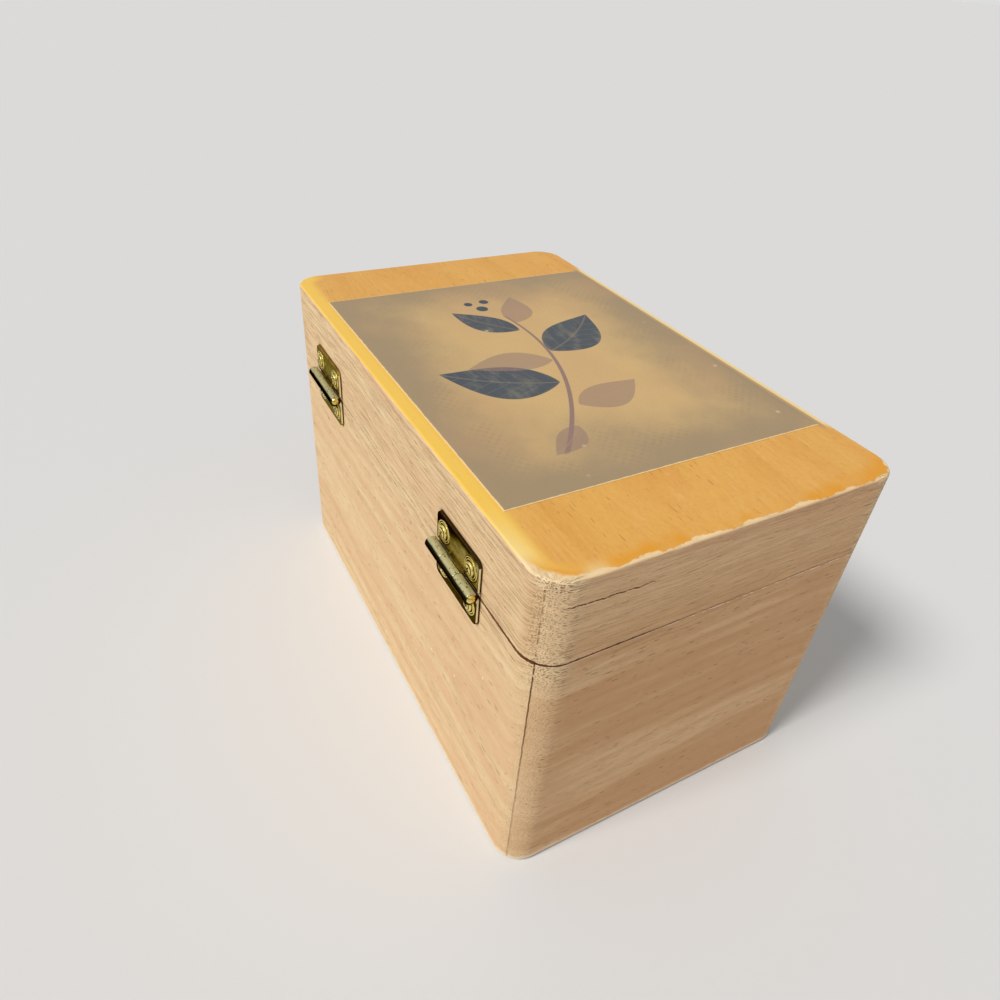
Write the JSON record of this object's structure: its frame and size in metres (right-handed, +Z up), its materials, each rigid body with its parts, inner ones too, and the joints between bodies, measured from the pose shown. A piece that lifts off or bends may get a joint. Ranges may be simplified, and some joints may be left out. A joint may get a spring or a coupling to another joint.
{
  "type": "photo storage box",
  "caption": "Small wooden storage box for photo prints, with a flat hinged lid, brass hinges at the back and a brass hook catch at the front.",
  "frame": {"origin": "middle of the underside, on the surface that the box stands on", "axes": "+X along the length, towards the right end as seen from the catch; +Y from the catch side to the hinges; +Z up through the lid"},
  "size_m": [0.188, 0.1242, 0.1176],
  "materials": {
    "bare_wood": "bare light wood, sanded, with fine grain",
    "varnished_wood": "amber varnish brushed over light wood",
    "bottom_ply": "thin bare plywood",
    "picture_paper": "printed paper glued down, aged tan ground with dark slate leaves",
    "brass": "polished brass plate"
  },
  "bodies": {
    "box": {"body_front_wall": "bare_wood", "body_back_wall": "bare_wood", "body_left_end": "bare_wood", "body_right_end": "bare_wood", "body_bottom_panel": "bottom_ply", "left_hinge_body_leaf": "brass", "left_hinge_pin": "brass", "right_hinge_body_leaf": "brass", "right_hinge_pin": "brass", "body_hinge_screws": "brass", "catch_pivot_screw": "brass", "catch_washer": "brass"},
    "lid": {"lid_front_wall": "bare_wood", "lid_back_wall": "bare_wood", "lid_left_end": "bare_wood", "lid_right_end": "bare_wood", "lid_top_panel": "varnished_wood", "cover_picture": "picture_paper", "left_hinge_lid_leaf": "brass", "right_hinge_lid_leaf": "brass", "lid_hinge_screws": "brass", "catch_stud": "brass"},
    "hook": {"catch_hook": "brass"}
  },
  "joints": [
    {"name": "lid_hinge", "type": "hinge", "parent": "box", "child": "lid", "pos_m": [0, 0.0602, 0.0915], "axis": [-1, 0, 0], "range_deg": [0, 190]},
    {"name": "hook_pivot", "type": "hinge", "parent": "box", "child": "hook", "pos_m": [0, -0.059, 0.0795], "axis": [0, 1, 0], "range_deg": [-155, 180]}
  ]
}
